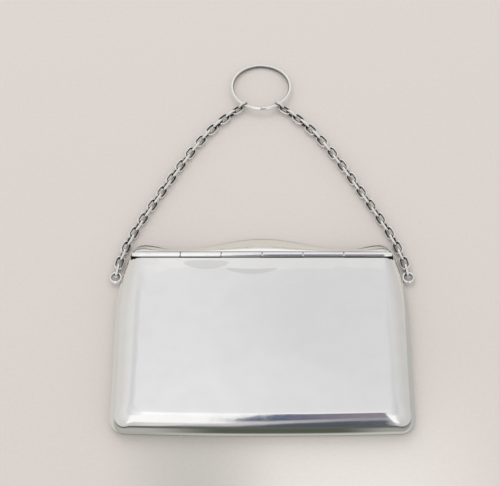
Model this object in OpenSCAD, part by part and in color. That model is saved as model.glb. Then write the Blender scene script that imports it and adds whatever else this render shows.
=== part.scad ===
// Slim silver card case with a chain handle and a finger ring.
// It lies on its front face: X to the right, Y towards the chain, Z up through the back.
// The origin is the middle of the front face.

/* [Case] */
// Width across the two straight sides
case_w = 96; // [92:0.5:110]
// Height from the bottom edge to the hinge axis
body_h = 62.2; // [58:0.2:75]
// Thickness at the middle of the crowned back
case_t = 8.5; // [8.4:0.1:12]
// Thickness of the silver sheet
sheet = 0.7; // [0.5:0.05:0.8]
// How much the back swells above its own edge
crown = 0.3; // [0.1:0.05:0.5]
// Height of the seam between the two shells
rim_z = 1.6; // [1.5:0.05:1.8]
// Gap that shows as the seam
seam_gap = 0.12; // [0.05:0.01:0.2]
// Radius of the two bottom corners
corner_r = 5; // [4:0.5:8]
// Outward bow of the bottom edge
bottom_bow = 0.6; // [0.2:0.1:1.5]
// How far each side draws in at the hinge
taper_in = 3.1; // [1:0.1:4]
// Length over which the sides draw in
taper_len = 20; // [15:1:30]

/* [Rolled edges] */
// Width of the roll along the sides of the back
side_roll = 7.5; // [6:0.5:9]
// Width of the same roll where it reaches the hinge
hinge_roll = 5; // [4:0.5:6]
// Width of the roll along the bottom of the back
bottom_roll = 4; // [3:0.5:6]
// Width of the roll round the front face
front_roll = 3; // [2:0.25:3.5]
// Radius of the two bottom corners of the flat panel
panel_r = 2; // [1:0.5:4]

/* [Serpentine crest] */
// Rise of the crest past the hinge axis at its middle
crest_mid = 10.1; // [8:0.1:14]
// Rise at the two hollows
crest_low = 5.85; // [5:0.05:7]
// Rise at the two outer humps
crest_hump = 7.6; // [7:0.1:9]
// Distance of the hollows from the middle
hollow_x = 29; // [24:0.5:31]
// Distance of the humps from the middle
hump_x = 39.5; // [37:0.5:40]
// Rise of the crest where its round corners begin
crest_corner = 3.2; // [2.4:0.1:4]
// How full the hood's curve is, where 1 is a straight slope
hood_power = 1.4; // [1.2:0.1:2]

/* [Hinge] */
// Radius of the hinge barrel
barrel_r = 1; // [0.9:0.05:1.2]
// Radius of the hinge pin
pin_r = 0.45; // [0.35:0.05:0.5]
// Radial clearance of the pin in the knuckles
pin_clear = 0.05; // [0.02:0.01:0.08]
// Length of each of the four inner knuckles
knuckle_len = 13.5; // [12:0.25:14]
// Length of each of the two end knuckles
end_knuckle_len = 16; // [14:0.25:16.5]
// Length over which an end knuckle tapers
knuckle_taper = 3; // [2:0.5:5]
// Gap between two knuckles
knuckle_gap = 0.2; // [0.1:0.05:0.4]
// Gap between the barrel and the edges beside it
barrel_gap = 0.25; // [0.1:0.05:0.3]
// How far the barrel stands above the edge of the back
barrel_proud = 0.7; // [0.3:0.05:0.8]
// How far the edge of the hood lies above the hinge axis
hood_lift = 0.1; // [0:0.05:0.2]

/* [Interior] */
// Thickness of the two linings
lining_t = 0.4; // [0.3:0.05:0.6]
// Thickness of the leather pocket wall
pocket_t = 0.4; // [0.3:0.05:0.5]
// Clear depth of the card pocket
pocket_depth = 4.25; // [4.2:0.05:4.4]
// Radius of the thumb notch in the pocket mouth
notch_r = 11; // [6:0.5:14]
// Distance of the pocket mouth from the bottom edge
mouth_inset = 11; // [9:0.5:20]
// Thickness of the rim strip that centres the closed case
bezel_t = 0.45; // [0.3:0.05:0.6]
// Height of the rim strip
bezel_h = 1.85; // [1.5:0.05:1.9]
// Sideways play of the rim strip in the back
bezel_play = 0.3; // [0.3:0.05:0.5]
// How far below the seam the rim strip starts
bezel_seat = 0.35; // [0.2:0.05:0.5]
// Bare margin round the linings
lining_margin = 0.4; // [0.3:0.05:0.6]
// Distance of the linings from the hinge axis
lining_to_hinge = 2; // [1.8:0.1:4]
// Bare margin round the pocket
pocket_margin = 0.5; // [0.4:0.05:0.8]
// Distance of the pocket from the hinge axis
pocket_to_hinge = 2.6; // [2.4:0.1:4]
// Clearance of anything that lies inside the shells
inner_gap = 0.05; // [0.03:0.01:0.1]

/* [Chain] */
// Number of links on each side, an even number
link_count = 26; // [22:2:26]
// Distance from one link to the next
link_pitch = 3.15; // [3:0.05:3.4]
// Diameter of the link wire
wire_d = 0.85; // [0.7:0.05:0.9]
// Width of a link measured on the middle of its wire
link_w = 2.1; // [2:0.05:2.3]
// Slack between two linked wires
link_gap = 0.12; // [0.08:0.01:0.2]
// Height of the chain's middle line above the surface
chain_z = 1.5; // [1.5:0.05:1.6]
// Direction of the chain's middle stretch, measured from Y
lean_mid = 29.3; // [27:0.1:31]
// How much steeper the chain leaves the lug
lean_low = 22; // [18:0.5:24]
// How much flatter it reaches the finger ring
lean_high = 24; // [20:0.5:26]

/* [Lugs and rings] */
// Diameter of the lug wire
lug_wire_d = 1; // [0.8:0.05:1]
// Radius of a lug on the middle of its wire
lug_r = 1.7; // [1.6:0.05:2]
// Distance of a lug's middle below the hinge axis
lug_drop = 5; // [4:0.25:7]
// Gap between a lug and the side of the case
lug_gap = 0.2; // [0.1:0.05:0.4]
// Radius of the solder stub between a lug and the case
stub_r = 0.38; // [0.3:0.02:0.4]
// Distance of the stub's middle below the seam
stub_drop = 0.4; // [0.38:0.02:0.5]
// Gap between the stub and the case
stub_gap = 0.1; // [0.05:0.05:0.2]
// Radius of the rings that join the chain to the finger ring
end_ring_r = 1.8; // [1.75:0.05:1.95]
// Diameter of the wire of those rings
end_wire_d = 0.75; // [0.65:0.05:0.8]
// How far past the last link's wire the middle of each end ring lies
end_slack = 0.35; // [0.3:0.01:0.45]
// How far past that middle the finger ring passes
finger_slack = 0.43; // [0.35:0.01:0.45]
// Distance between the two places where the end rings hold the finger ring
ring_spread = 12.28; // [10:0.02:14]
// Radius of the finger ring on the middle of its wire
finger_r = 10.45; // [9:0.05:12]
// Diameter of the finger ring's wire
finger_wire_d = 1.25; // [1:0.05:1.3]
// How far its near wire lies above the middle of the end rings
finger_rise = 0.2; // [0.05:0.05:0.2]

/* [Hidden] */
link_runs = link_count / 2;
run_names = [for (i = [1:link_runs]) str(i < 10 ? "0" : "", i)];
$fn = 48;

// Places worked out from the sizes above
half_case = case_w / 2;
overall_h = body_h + crest_mid;
bottom_y = -overall_h / 2;
hinge_y = bottom_y + body_h;
edge_z = case_t - crown;
hinge_z = edge_z - barrel_r + barrel_proud;
barrel_half = 2 * knuckle_len + end_knuckle_len;
edge_dist = barrel_r + barrel_gap;
silver = "gainsboro";
leather = "saddlebrown";

// Number of points on each stretch of an outline
bottom_steps = 4;
corner_steps = 7;
side_steps = 8;
crest_steps = 22;
roll_steps = 6;
rim_steps = 4;
hood_rows = 5;

// Outline of the case in plan
function draw_in(y) = max(0, (y - hinge_y + taper_len) / taper_len);
function half_w(y) = half_case - taper_in * pow(draw_in(y), 2);
function blend(a, b, t) = a + (b - a) * t;
function wave(t) = (1 - cos(180 * t)) / 2;
function crest_rise(x) = abs(x) < hollow_x
    ? blend(crest_mid, crest_low, wave(abs(x) / hollow_x))
    : blend(crest_low, crest_hump, wave((abs(x) - hollow_x) / (hump_x - hollow_x)));
function flip(pts) = [for (i = [len(pts) - 1:-1:0]) [-pts[i].x, pts[i].y]];

// Right half of the bottom and side, drawn in by side_in(y) and bottom_in
function low_half(y_end, in_side, in_hinge, in_bottom, r) =
    let (y0 = bottom_y + in_bottom,
        side_in = function (y) in_side + (in_hinge - in_side) * pow(min(1, draw_in(y)), 2),
        y1 = y0 + bottom_bow + r,
        cx = half_w(y1) - side_in(y1) - r)
    concat(
        [for (i = [0:bottom_steps - 1])
            let (t = i / bottom_steps) [cx * t, y0 + bottom_bow * t * t]],
        [for (i = [0:corner_steps])
            let (a = -90 + 90 * i / corner_steps) [cx + r * cos(a), y1 + r * sin(a)]],
        [for (i = [1:side_steps])
            let (y = blend(y1, y_end, i / side_steps)) [half_w(y) - side_in(y), y]]);

// Right half of the crest, from the side at hood_y to the middle
hood_y = hinge_y + edge_dist;
function crest_half(inset) =
    let (y0 = hinge_y + crest_corner,
        rx = half_w(y0) - inset - hump_x,
        ry = crest_hump - crest_corner - inset)
    concat(
        [for (i = [0:corner_steps])
            let (a = 90 * i / corner_steps) [hump_x + rx * cos(a), y0 + ry * sin(a)]],
        [for (i = [1:crest_steps])
            let (x = hump_x * (1 - i / crest_steps)) [x, hinge_y + crest_rise(x) - inset]]);

// Whole outlines, anticlockwise from the middle of the bottom
function closed(half, mid) = concat(half, mid ? flip([for (i = [1:len(half) - 2]) half[i]])
    : flip([for (i = [1:len(half) - 1]) half[i]]));
function front_outline(inset) =
    closed(concat(low_half(hood_y, inset, inset, inset, corner_r - inset / 2), crest_half(inset)),
        true);
function back_outline(in_side, in_hinge, in_bottom, r) =
    closed(low_half(hood_y + edge_dist, in_side, in_hinge, in_bottom, r), false);

// Rings that roll over a quarter ellipse from the flat ring at z0 out to the rim ring at z1
function rolled(flat, rim, z0, z1, steps) = [for (j = [0:steps])
    let (a = 90 * j / steps)
    [for (i = [0:len(flat) - 1])
        let (p = blend(flat[i], rim[i], sin(a))) [p.x, p.y, blend(z1, z0, cos(a))]]];
function reversed(list) = [for (i = [len(list) - 1:-1:0]) list[i]];

// Closed skin over a stack of rings, with a fan to one point at each end
module loft(rings, first, last) {
    n = len(rings[0]);
    m = len(rings);
    points = concat([first, last], [for (r = rings) each r]);
    fans = [for (i = [0:n - 1]) each [
        [0, 2 + (i + 1) % n, 2 + i],
        [1, 2 + (m - 1) * n + i, 2 + (m - 1) * n + (i + 1) % n]]];
    walls = [for (j = [0:m - 2], i = [0:n - 1])
        let (a = 2 + j * n, b = a + n, k = (i + 1) % n)
        each [[a + i, a + k, b + k], [a + i, b + k, b + i]]];
    polyhedron(points, concat(fans, walls));
}

// Back shell: a stamped pan that is cut off straight beside the hinge
back_rim_z = rim_z + seam_gap;
module back_pan() {
    panel = back_outline(side_roll, hinge_roll, bottom_roll, panel_r);
    outer = back_outline(0, 0, 0, corner_r);
    inner = back_outline(sheet, sheet, sheet, corner_r - sheet / 2);
    skin_out = rolled(panel, outer, edge_z, back_rim_z, roll_steps);
    skin_in = rolled(panel, inner, edge_z - sheet, back_rim_z, roll_steps);
    loft(concat(skin_out, reversed(skin_in)), [0, 0, case_t], [0, 0, case_t - sheet]);
}
ear_x = barrel_half + 2 * barrel_gap;
ear_y = hinge_y + edge_dist - seam_gap;
module back_shell() {
    color(silver) difference() {
        back_pan();
        translate([-ear_x, hinge_y - edge_dist, 0]) cube([2 * ear_x, case_t, 2 * case_t]);
        translate([-half_case, ear_y, 0]) cube([case_w, case_t, 2 * case_t]);
    }
}

// Front shell: a shallow pan whose crest rises as a hood to the far side of the hinge
hood_edge_z = hinge_z + hood_lift;
hood_half = half_w(hood_y);
// The hollow's flat top is lifted clear of the rim that it opens through
cut_lift = 0.001;
function hood_start(x) = abs(x) < hood_half - hinge_roll ? hood_edge_z
    : rim_z + (hood_edge_z - rim_z)
        * sqrt(max(0, 1 - pow((abs(x) - hood_half + hinge_roll) / hinge_roll, 2)));
function hood_fall(v) = 1 - pow(v, hood_power);
function hood_rim(inset) = let (half = crest_half(inset))
    concat(half, flip([for (i = [0:len(half) - 2]) half[i]]));
module hood(inset, drop, reach) {
    rim = hood_rim(inset);
    n = len(rim);
    scale_x = (hood_half - inset) / rim[0].x;
    top = [for (j = [0:hood_rows]) [for (i = [0:n - 1])
        let (v = j / hood_rows, a = [rim[i].x * scale_x, hood_y - reach],
            p = blend(a, rim[i], v), z = hood_start(rim[i].x * scale_x))
        [p.x, p.y, max(rim_z, blend(rim_z, z - drop, hood_fall(v)))]]];
    foot_in = front_roll / 2;
    base = [for (i = [0:n - 1]) let (p = rim[i] * (1 - foot_in / half_case)) [p.x, p.y, sheet / 2]];
    back_foot = [for (i = [0:n - 1]) [base[i].x, hood_y - reach, sheet / 2]];
    rings = concat([back_foot], top, [base]);
    m = len(rings);
    points = [for (r = rings) each r];
    sides = [for (j = [0:m - 2], i = [0:n - 2])
        let (a = j * n + i, b = a + n) each [[a, b + 1, b], [a, a + 1, b + 1]]];
    under = [for (i = [0:n - 2]) let (a = (m - 1) * n + i) each [[a, i + 1, i], [a, a + 1, i + 1]]];
    end_a = [for (j = [0:m - 1]) j * n];
    end_b = [for (j = [m - 1:-1:0]) j * n + n - 1];
    polyhedron(points, concat(sides, under, [end_a, end_b]));
}
module front_pan(inset, z0) {
    face = front_outline(front_roll);
    rim = front_outline(inset);
    loft(reversed(rolled(face, rim, z0, rim_z, rim_steps)), [0, 0, rim_z], [0, 0, z0]);
}
module front_shell() {
    color(silver) difference() {
        union() {
            front_pan(0, 0);
            hood(0, 0, 0);
        }
        translate([0, 0, cut_lift]) front_pan(sheet, sheet);
        hood(sheet, sheet, edge_dist);
    }
}

// Hinge: six knuckles on one pin, three soldered to each shell
bore_r = pin_r + pin_clear;
strip_gap = 0.02;
function knuckle_from(i) = i == 0 ? -barrel_half : (i - 3) * knuckle_len;
function knuckle_to(i) = i == 5 ? barrel_half : (i - 2) * knuckle_len;
module along_x(x) { translate([x, hinge_y, hinge_z]) rotate([0, 90, 0]) children(); }
module knuckle(i, side) {
    x0 = knuckle_from(i) + (i == 0 ? 0 : knuckle_gap / 2);
    x1 = knuckle_to(i) - (i == 5 ? 0 : knuckle_gap / 2);
    plain0 = x0 + (i == 0 ? knuckle_taper : 0);
    plain1 = x1 - (i == 5 ? knuckle_taper : 0);
    tip_r = (barrel_r + bore_r) / 2;
    strip_h = sheet - 2 * strip_gap;
    strip_z = side < 0 ? edge_z - sheet + strip_gap : hood_edge_z - sheet + strip_gap;
    difference() {
        union() {
            along_x(plain0) cylinder(h = plain1 - plain0, r = barrel_r);
            if (i == 0) along_x(x0) cylinder(h = knuckle_taper, r1 = tip_r, r2 = barrel_r);
            if (i == 5) along_x(plain1) cylinder(h = knuckle_taper, r1 = barrel_r, r2 = tip_r);
            translate([plain0, hinge_y + (side < 0 ? -edge_dist + strip_gap : bore_r), strip_z])
                cube([plain1 - plain0, edge_dist - strip_gap - bore_r, strip_h]);
        }
        along_x(x0 - barrel_r) cylinder(h = x1 - x0 + 2 * barrel_r, r = bore_r);
    }
}
module back_knuckles() { color(silver) for (i = [0:2:4]) knuckle(i, -1); }
module front_knuckles() { color(silver) for (i = [1:2:5]) knuckle(i, 1); }
module hinge_pin() { color("darkgray") along_x(-barrel_half) cylinder(h = 2 * barrel_half, r = pin_r); }

// Rim strip inside the bottom and lower sides: it stands past the seam and centres the back
bezel_in = sheet + seam_gap + bezel_play;
bezel_z = rim_z - bezel_seat;
bezel_end = hinge_y - taper_len;
module plan_of(half) { polygon(closed(half, false)); }
module bezel() {
    color(silver) translate([0, 0, bezel_z]) linear_extrude(bezel_h) difference() {
        plan_of(low_half(bezel_end, bezel_in, bezel_in, bezel_in, corner_r - bezel_in));
        plan_of(low_half(bezel_end + bezel_in, bezel_in + bezel_t, bezel_in + bezel_t,
            bezel_in + bezel_t, corner_r - bezel_in - bezel_t));
    }
}

// Linings of thin leather on the flats of the two shells
lining_in = front_roll + lining_margin;
lining_top_y = hinge_y - lining_to_hinge;
module front_lining() {
    color(leather) translate([0, 0, sheet + inner_gap]) linear_extrude(lining_t)
        plan_of(low_half(lining_top_y, lining_in, lining_in, lining_in, panel_r));
}
module back_lining() {
    back_lining_z = edge_z - sheet - inner_gap - lining_t;
    color(leather) translate([0, 0, back_lining_z]) linear_extrude(lining_t)
        plan_of(low_half(lining_top_y, side_roll + lining_margin, hinge_roll + lining_margin,
            bottom_roll + lining_margin, panel_r));
}

// Leather pocket on the front lining: open at the bottom edge, closed on the other three sides
pocket_z = sheet + inner_gap + lining_t + inner_gap;
pocket_in = front_roll + pocket_margin;
pocket_top_y = hinge_y - pocket_to_hinge;
mouth_y = bottom_y + mouth_inset;
module card_pocket() {
    inside = pocket_in + pocket_t;
    color(leather) difference() {
        translate([0, 0, pocket_z]) linear_extrude(pocket_depth + pocket_t)
            plan_of(low_half(pocket_top_y, pocket_in, pocket_in, pocket_in, panel_r));
        translate([0, 0, pocket_z - pocket_t]) linear_extrude(pocket_depth + pocket_t)
            plan_of(low_half(pocket_top_y - pocket_t, inside, inside, inside, panel_r));
        translate([-half_case, bottom_y, 0]) cube([case_w, mouth_inset, case_t]);
        translate([0, mouth_y, pocket_z]) cylinder(h = 2 * pocket_depth, r = notch_r);
    }
}

// Wire ring lying in the plane of X and Y
module wire_ring(r, d) { rotate_extrude() translate([r, 0]) circle(d = d); }

// Lugs: a round eye on each side, held to the front shell by a short stub of solder
lug_y = hinge_y - lug_drop;
lug_x = half_w(lug_y) + lug_gap + lug_r + lug_wire_d / 2;
stub_z = rim_z - stub_drop;
module right_lug() {
    stub_y = lug_y - lug_r / sqrt(2);
    stub_x = half_w(stub_y) + stub_gap;
    stub_end = lug_x - lug_r / sqrt(2);
    color(silver) {
        translate([lug_x, lug_y, chain_z]) wire_ring(lug_r, lug_wire_d);
        translate([stub_x, stub_y, stub_z]) rotate([0, 90, 0])
            cylinder(h = stub_end - stub_x, r = stub_r);
    }
}
module left_lug() { mirror([1, 0, 0]) right_lug(); }

// Chain: positions and directions of the links of the right side
link_r = link_w / 2;
reach = (link_pitch + wire_d + link_gap) / 2;
first_step = reach - wire_d / 2 - lug_wire_d / 2 - link_gap;
chain_len = first_step + (link_count - 1) * link_pitch;
function along(i) = first_step + (i - 1) * link_pitch;
function lean(u, fit) = fit * abs(2 * u - 1) + (u < 0.5
    ? lean_mid - lean_low * pow(1 - 2 * u, 3)
    : lean_mid + lean_high * pow(2 * u - 1, 2));
function lean_at(s, fit = chain_fit) = lean(max(0, min(1, s / chain_len)), fit);
function way(a) = [-sin(a), cos(a)];
function lug_wire_at(fit) = [lug_x, lug_y] + lug_r * way(lean_at(0, fit));
function course(fit) =
    [for (i = 1, p = lug_wire_at(fit) + first_step * way(lean_at(first_step / 2, fit)); i <= link_count;
        p = p + link_pitch * way(lean_at(along(i) + link_pitch / 2, fit)), i = i + 1) p];

// The chain lies between the lug and its place on the finger ring: its outer stretches are turned
// by up to chain_fit, found in a few steps, so that it ends there whatever the width of the case
ring_reach = reach + end_slack + finger_slack;
function off_ring(fit) = course(fit)[link_count - 1].x - ring_spread / 2
    + ring_reach * way(lean_at(chain_len, fit)).x;
function turn_for(off) = 2 * off / (chain_len * cos(lean_mid)) * 180 / PI;
function fitted(fit, steps) = steps == 0 ? fit : fitted(fit + turn_for(off_ring(fit)), steps - 1);
fit_steps = 12;
chain_fit = fitted(0, fit_steps);
lug_wire = lug_wire_at(chain_fit);
links = course(chain_fit);
module link(i) {
    straight = reach - link_r;
    a = lean_at(along(i));
    translate([links[i - 1].x, links[i - 1].y, chain_z])
        rotate([0, 0, a]) rotate([0, i % 2 == 1 ? 90 : 0, 0]) {
            for (s = [0, 180]) rotate([0, 0, s]) {
                translate([0, straight, 0]) rotate_extrude(angle = 180)
                    translate([link_r, 0]) circle(d = wire_d);
                translate([link_r, straight, 0]) rotate([90, 0, 0])
                    cylinder(h = 2 * straight, d = wire_d);
            }
        }
}
module right_links(run) { color("silver") for (i = [2 * run - 1, 2 * run]) link(i); }
module left_links(run) { mirror([1, 0, 0]) right_links(run); }

// Rings that join the last links to the finger ring
last_wire = links[link_count - 1] + reach * way(lean_at(chain_len));
end_lean = lean_at(chain_len);
end_ring_z = end_ring_r + end_wire_d / 2 + inner_gap;
end_ring_at = last_wire + end_slack * way(end_lean);
finger_wire = end_ring_at + finger_slack * way(end_lean);
module right_end_ring() {
    color("silver") translate([end_ring_at.x, end_ring_at.y, end_ring_z])
        rotate([0, 0, end_lean]) rotate([0, 90, 0]) wire_ring(end_ring_r, end_wire_d);
}
module left_end_ring() { mirror([1, 0, 0]) right_end_ring(); }

// Finger ring: it hangs in the two end rings and its far side rests on the surface
finger_z = end_ring_z + finger_rise;
finger_mid = sqrt(pow(finger_r, 2) - pow(finger_wire.x, 2));
finger_tilt = asin((finger_z - finger_wire_d / 2) / (finger_mid + finger_r));
module finger_ring() {
    color(silver) translate([0, finger_wire.y, finger_z]) rotate([-finger_tilt, 0, 0])
        translate([0, finger_mid, 0]) wire_ring(finger_r, finger_wire_d);
}

front_shell();
back_shell();
front_knuckles();
back_knuckles();
hinge_pin();
bezel();
front_lining();
back_lining();
card_pocket();
left_lug();
right_lug();
for (run = [1:link_runs]) {
    left_links(run);
    right_links(run);
}
left_end_ring();
right_end_ring();
finger_ring();
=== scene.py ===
import random
from math import asin, atan2, cos, pi, radians, sin, sqrt

import bmesh
import bpy
from mathutils import Euler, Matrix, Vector


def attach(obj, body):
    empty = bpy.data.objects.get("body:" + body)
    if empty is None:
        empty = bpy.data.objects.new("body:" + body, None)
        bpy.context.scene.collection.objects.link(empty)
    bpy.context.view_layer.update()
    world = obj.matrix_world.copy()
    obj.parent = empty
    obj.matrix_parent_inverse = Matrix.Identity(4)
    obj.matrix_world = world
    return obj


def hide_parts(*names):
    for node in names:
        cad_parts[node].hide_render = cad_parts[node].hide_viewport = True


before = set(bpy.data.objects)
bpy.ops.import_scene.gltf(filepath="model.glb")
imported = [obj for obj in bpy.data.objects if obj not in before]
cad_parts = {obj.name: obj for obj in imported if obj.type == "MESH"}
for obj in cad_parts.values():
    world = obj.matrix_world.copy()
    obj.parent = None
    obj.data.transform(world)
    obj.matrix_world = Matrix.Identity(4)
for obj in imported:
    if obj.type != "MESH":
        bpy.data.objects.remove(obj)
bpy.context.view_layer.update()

scene = bpy.context.scene
mm = 0.001

# ---- Camera ----------------------------------------------------------------------------------
# It looks down on the case from its bottom edge, 58.5 degrees above the table and half a metre
# away, the way a small object on a table is photographed.
camera_height = radians(58.5)
camera_far = 486.4 * mm
looks_at = Vector((-4.0, 33.0, 4.2)) * mm
sensor_w, focal_px, image_px = 36, 1450, 500
camera_data = bpy.data.cameras.new("camera")
camera_data.sensor_width = sensor_w
camera_data.lens = sensor_w * focal_px / image_px
camera_data.clip_start = 0.01
camera = bpy.data.objects.new("camera", camera_data)
camera.location = looks_at + camera_far * Vector((0, -cos(camera_height), sin(camera_height)))
camera.rotation_euler = (pi / 2 - camera_height, 0, 0)
scene.collection.objects.link(camera)
scene.camera = camera
scene.view_settings.view_transform = "Standard"


# ---- Table and light ---------------------------------------------------------------------------
# A sheet of pale, slightly warm paper under a bright soft sky. The silver mirrors a dark room in
# front of the table, so a dark screen stands there that only the reflections see.
def srgb(r, g, b):
    def one(c):
        c = c / 255
        return c / 12.92 if c <= 0.04045 else ((c + 0.055) / 1.055) ** 2.4
    return one(r), one(g), one(b), 1.0


class Net:
    """A node tree, with short ways to add nodes to it and to join them."""
    def __init__(self, tree):
        self.tree = tree

    def feed(self, socket, value):
        """Joins the value to the socket if it is one too, or else sets the socket to it."""
        if isinstance(value, bpy.types.NodeSocket):
            self.tree.links.new(value, socket)
        else:
            socket.default_value = value

    def add(self, kind, **settings):
        """A new node: in_X feeds its input X, and anything else is one of its settings."""
        n = self.tree.nodes.new(kind)
        for key, value in settings.items():
            if key.startswith("in_"):
                self.feed(n.inputs[key[3:].replace("_", " ")], value)
            else:
                setattr(n, key, value)
        return n

    def maths(self, what, *values, clamp=False):
        n = self.add("ShaderNodeMath", operation=what, use_clamp=clamp)
        for socket, value in zip(n.inputs, values):
            self.feed(socket, value)
        return n.outputs[0]

    def plus(self, a, b, clamp=False):
        return self.maths("ADD", a, b, clamp=clamp)

    def minus(self, a, b):
        return self.maths("SUBTRACT", a, b)

    def times(self, a, b):
        return self.maths("MULTIPLY", a, b)

    def most(self, a, b, clamp=False):
        return self.maths("MAXIMUM", a, b, clamp=clamp)

    def away_from(self, a, b=0.0):
        """How far a lies from b, on either side."""
        return self.maths("ABSOLUTE", self.minus(a, b) if b else a)

    def ramp(self, value, low, high, to_low=0.0, to_high=1.0, smooth=True):
        n = self.add("ShaderNodeMapRange", interpolation_type="SMOOTHSTEP" if smooth else "LINEAR",
                     in_Value=value, in_From_Min=low, in_From_Max=high, in_To_Min=to_low,
                     in_To_Max=to_high)
        return n.outputs["Result"]

    def mixed(self, factor, a, b):
        n = self.add("ShaderNodeMix", data_type="RGBA")
        for i, value in ((0, factor), (6, a), (7, b)):
            self.feed(n.inputs[i], value)
        return n.outputs[2]

    def either(self, factor, a, b):
        """Shader a where the factor is 0, shader b where it is 1."""
        n = self.add("ShaderNodeMixShader", in_Fac=factor)
        self.feed(n.inputs[1], a.outputs[0])
        self.feed(n.inputs[2], b.outputs[0])
        return n

    def noise(self, place, scale, detail, **more):
        return self.add("ShaderNodeTexNoise", in_Vector=place, in_Scale=scale, in_Detail=detail,
                        **more).outputs["Fac"]

    def place(self):
        return self.add("ShaderNodeTexCoord").outputs["Object"]

    def axes(self, place):
        return self.add("ShaderNodeSeparateXYZ", in_Vector=place).outputs

    def show(self, shader, kind="Material"):
        self.add("ShaderNodeOutput" + kind, in_Surface=shader.outputs[0])


def new_material(name):
    m = bpy.data.materials.new(name)
    m.use_nodes = True
    m.node_tree.nodes.clear()
    return m, Net(m.node_tree)


def in_scene(name, mesh):
    ob = bpy.data.objects.new(name, mesh)
    scene.collection.objects.link(ob)
    return ob


paper = srgb(225, 218, 214)
painted_light_pool, painted_shadow_pool = srgb(243, 238, 234), srgb(203, 200, 195)
painted_dark_reflection, painted_grey_reflection = srgb(84, 90, 78), srgb(176, 177, 170)

floor_mesh = bpy.data.meshes.new("table")
far = 1.5
floor_mesh.from_pydata([(-far, -far, 0), (far, -far, 0), (far, far, 0), (-far, far, 0)], [],
                       [(0, 1, 2, 3)])
floor = in_scene("table", floor_mesh)
m, net = new_material("pale paper")
place = net.place()
at = net.axes(place)
# Painted light and shade on the table in front of the case: a painted pool of light right of the middle and
# a painted shadow left of it.
below = net.times(net.ramp(at["Y"], 0.0, -0.06), net.ramp(at["Y"], -0.115, -0.07))
colour = paper
for mid, from_x, to_x, tone in ((0.028, 0.06, 0.005, painted_light_pool), (-0.022, 0.03, 0.0, painted_shadow_pool)):
    pool = net.ramp(net.away_from(at["X"], mid), from_x, to_x)
    colour = net.mixed(net.times(below, pool), colour, tone)
fibre = net.ramp(net.noise(place, 900.0, 4.0), 0.3, 0.7, 0.972, 1.0)
bright = net.add("ShaderNodeVectorMath", operation="SCALE", in_Vector=colour, in_Scale=fibre)
in_mirror = net.add("ShaderNodeLightPath").outputs["Is Glossy Ray"]
# Mirror rays see the rest of the table in one fixed, more neutral tone: a painted reflection.
diffuse = net.add("ShaderNodeBsdfDiffuse",
                  in_Color=net.mixed(in_mirror, bright.outputs[0], srgb(219, 214, 206)))
# Before the hinge, mirror rays see the table as a glow of painted reflection tones of its own and not as it
# is lit:
# pale close to the case and beside it, dark further in front. These were tuned until the rolled edges looked
# like those in the photograph.
left_part = net.ramp(at["X"], -0.012, -0.040)
right_part = net.ramp(at["X"], 0.024, 0.042)
close_by = net.mixed(left_part, srgb(196, 196, 188), srgb(172, 172, 166))
front_tone = net.mixed(left_part, painted_dark_reflection, painted_grey_reflection)
front_tone = net.mixed(right_part, front_tone, srgb(158, 158, 154))
front_tone = net.mixed(net.ramp(at["Y"], -0.0378, -0.0405), close_by, front_tone)
front_tone = net.mixed(net.ramp(at["Y"], -0.048, -0.064), front_tone, srgb(94, 96, 92))
beside = net.mixed(net.ramp(at["X"], -0.04, 0.04), srgb(208, 206, 202), srgb(184, 184, 181))
painted_reflection = net.mixed(net.ramp(at["Y"], -0.0352, -0.0362), beside, front_tone)
before_hinge = net.times(in_mirror, net.ramp(at["Y"], 0.026, 0.020))
net.show(net.either(before_hinge, diffuse, net.add("ShaderNodeEmission", in_Color=painted_reflection)))
floor_mesh.materials.append(m)

# The sky: one tone for the camera, one for diffuse light, and for mirror rays a scale of tones, tuned
# in the same way.
world = bpy.data.worlds.new("sky")
scene.world = world
world.use_nodes = True
world.node_tree.nodes.clear()
net = Net(world.node_tree)
at = net.axes(net.add("ShaderNodeTexCoord").outputs["Generated"])
path = net.add("ShaderNodeLightPath")


def bands(value, stops):
    """A grey or tinted scale along a value, from (place, red, green, blue) or (place, grey) stops."""
    scale = net.add("ShaderNodeValToRGB", in_Fac=value)
    marks = scale.color_ramp.elements
    while len(marks) < len(stops):
        marks.new(0.5)
    for mark, (at, *tone) in zip(marks, stops):
        mark.position = at
        mark.color = (*(tone if len(tone) == 3 else tone * 3), 1)
    return scale.outputs["Color"]


by_height = bands(at["Z"], [
    (0.0, 0.67, 0.655, 0.625), (0.45, 0.68, 0.67, 0.65), (0.70, 0.76, 0.755, 0.745),
    (0.832, 0.81, 0.81, 0.805), (0.848, 0.725, 0.72, 0.735), (0.88, 0.73, 0.725, 0.74),
    (0.915, 0.79, 0.785, 0.80), (0.985, 1.0)])
by_side = bands(net.ramp(at["X"], -1.0, 1.0, smooth=False), [
    (0.0, 1.03), (0.11, 1.0), (0.35, 0.93), (0.434, 0.90), (0.449, 1.08), (0.475, 1.08), (0.50, 0.985),
    (0.53, 0.94, 0.94, 0.945), (0.557, 0.99), (0.574, 0.92, 0.92, 0.925), (0.69, 0.84, 0.84, 0.845),
    (0.92, 0.90, 0.90, 0.905)])
in_silver = net.add("ShaderNodeVectorMath", operation="MULTIPLY")
net.feed(in_silver.inputs[0], by_height)
net.feed(in_silver.inputs[1], by_side)
window = net.times(net.ramp(at["Y"], 0.60, 0.74), net.ramp(net.away_from(at["X"]), 0.5, 0.3))
window = net.times(window, net.ramp(at["Z"], 0.02, 0.2))
in_silver = net.mixed(window, in_silver.outputs[0], (1.0, 1.0, 1.0, 1))
sky = net.mixed(path.outputs["Is Glossy Ray"], (0.86, 0.851, 0.838, 1), in_silver)
net.show(net.either(path.outputs["Is Camera Ray"],
                    net.add("ShaderNodeBackground", in_Color=sky, in_Strength=1.0),
                    net.add("ShaderNodeBackground", in_Color=paper, in_Strength=1.0)), "World")

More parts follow.
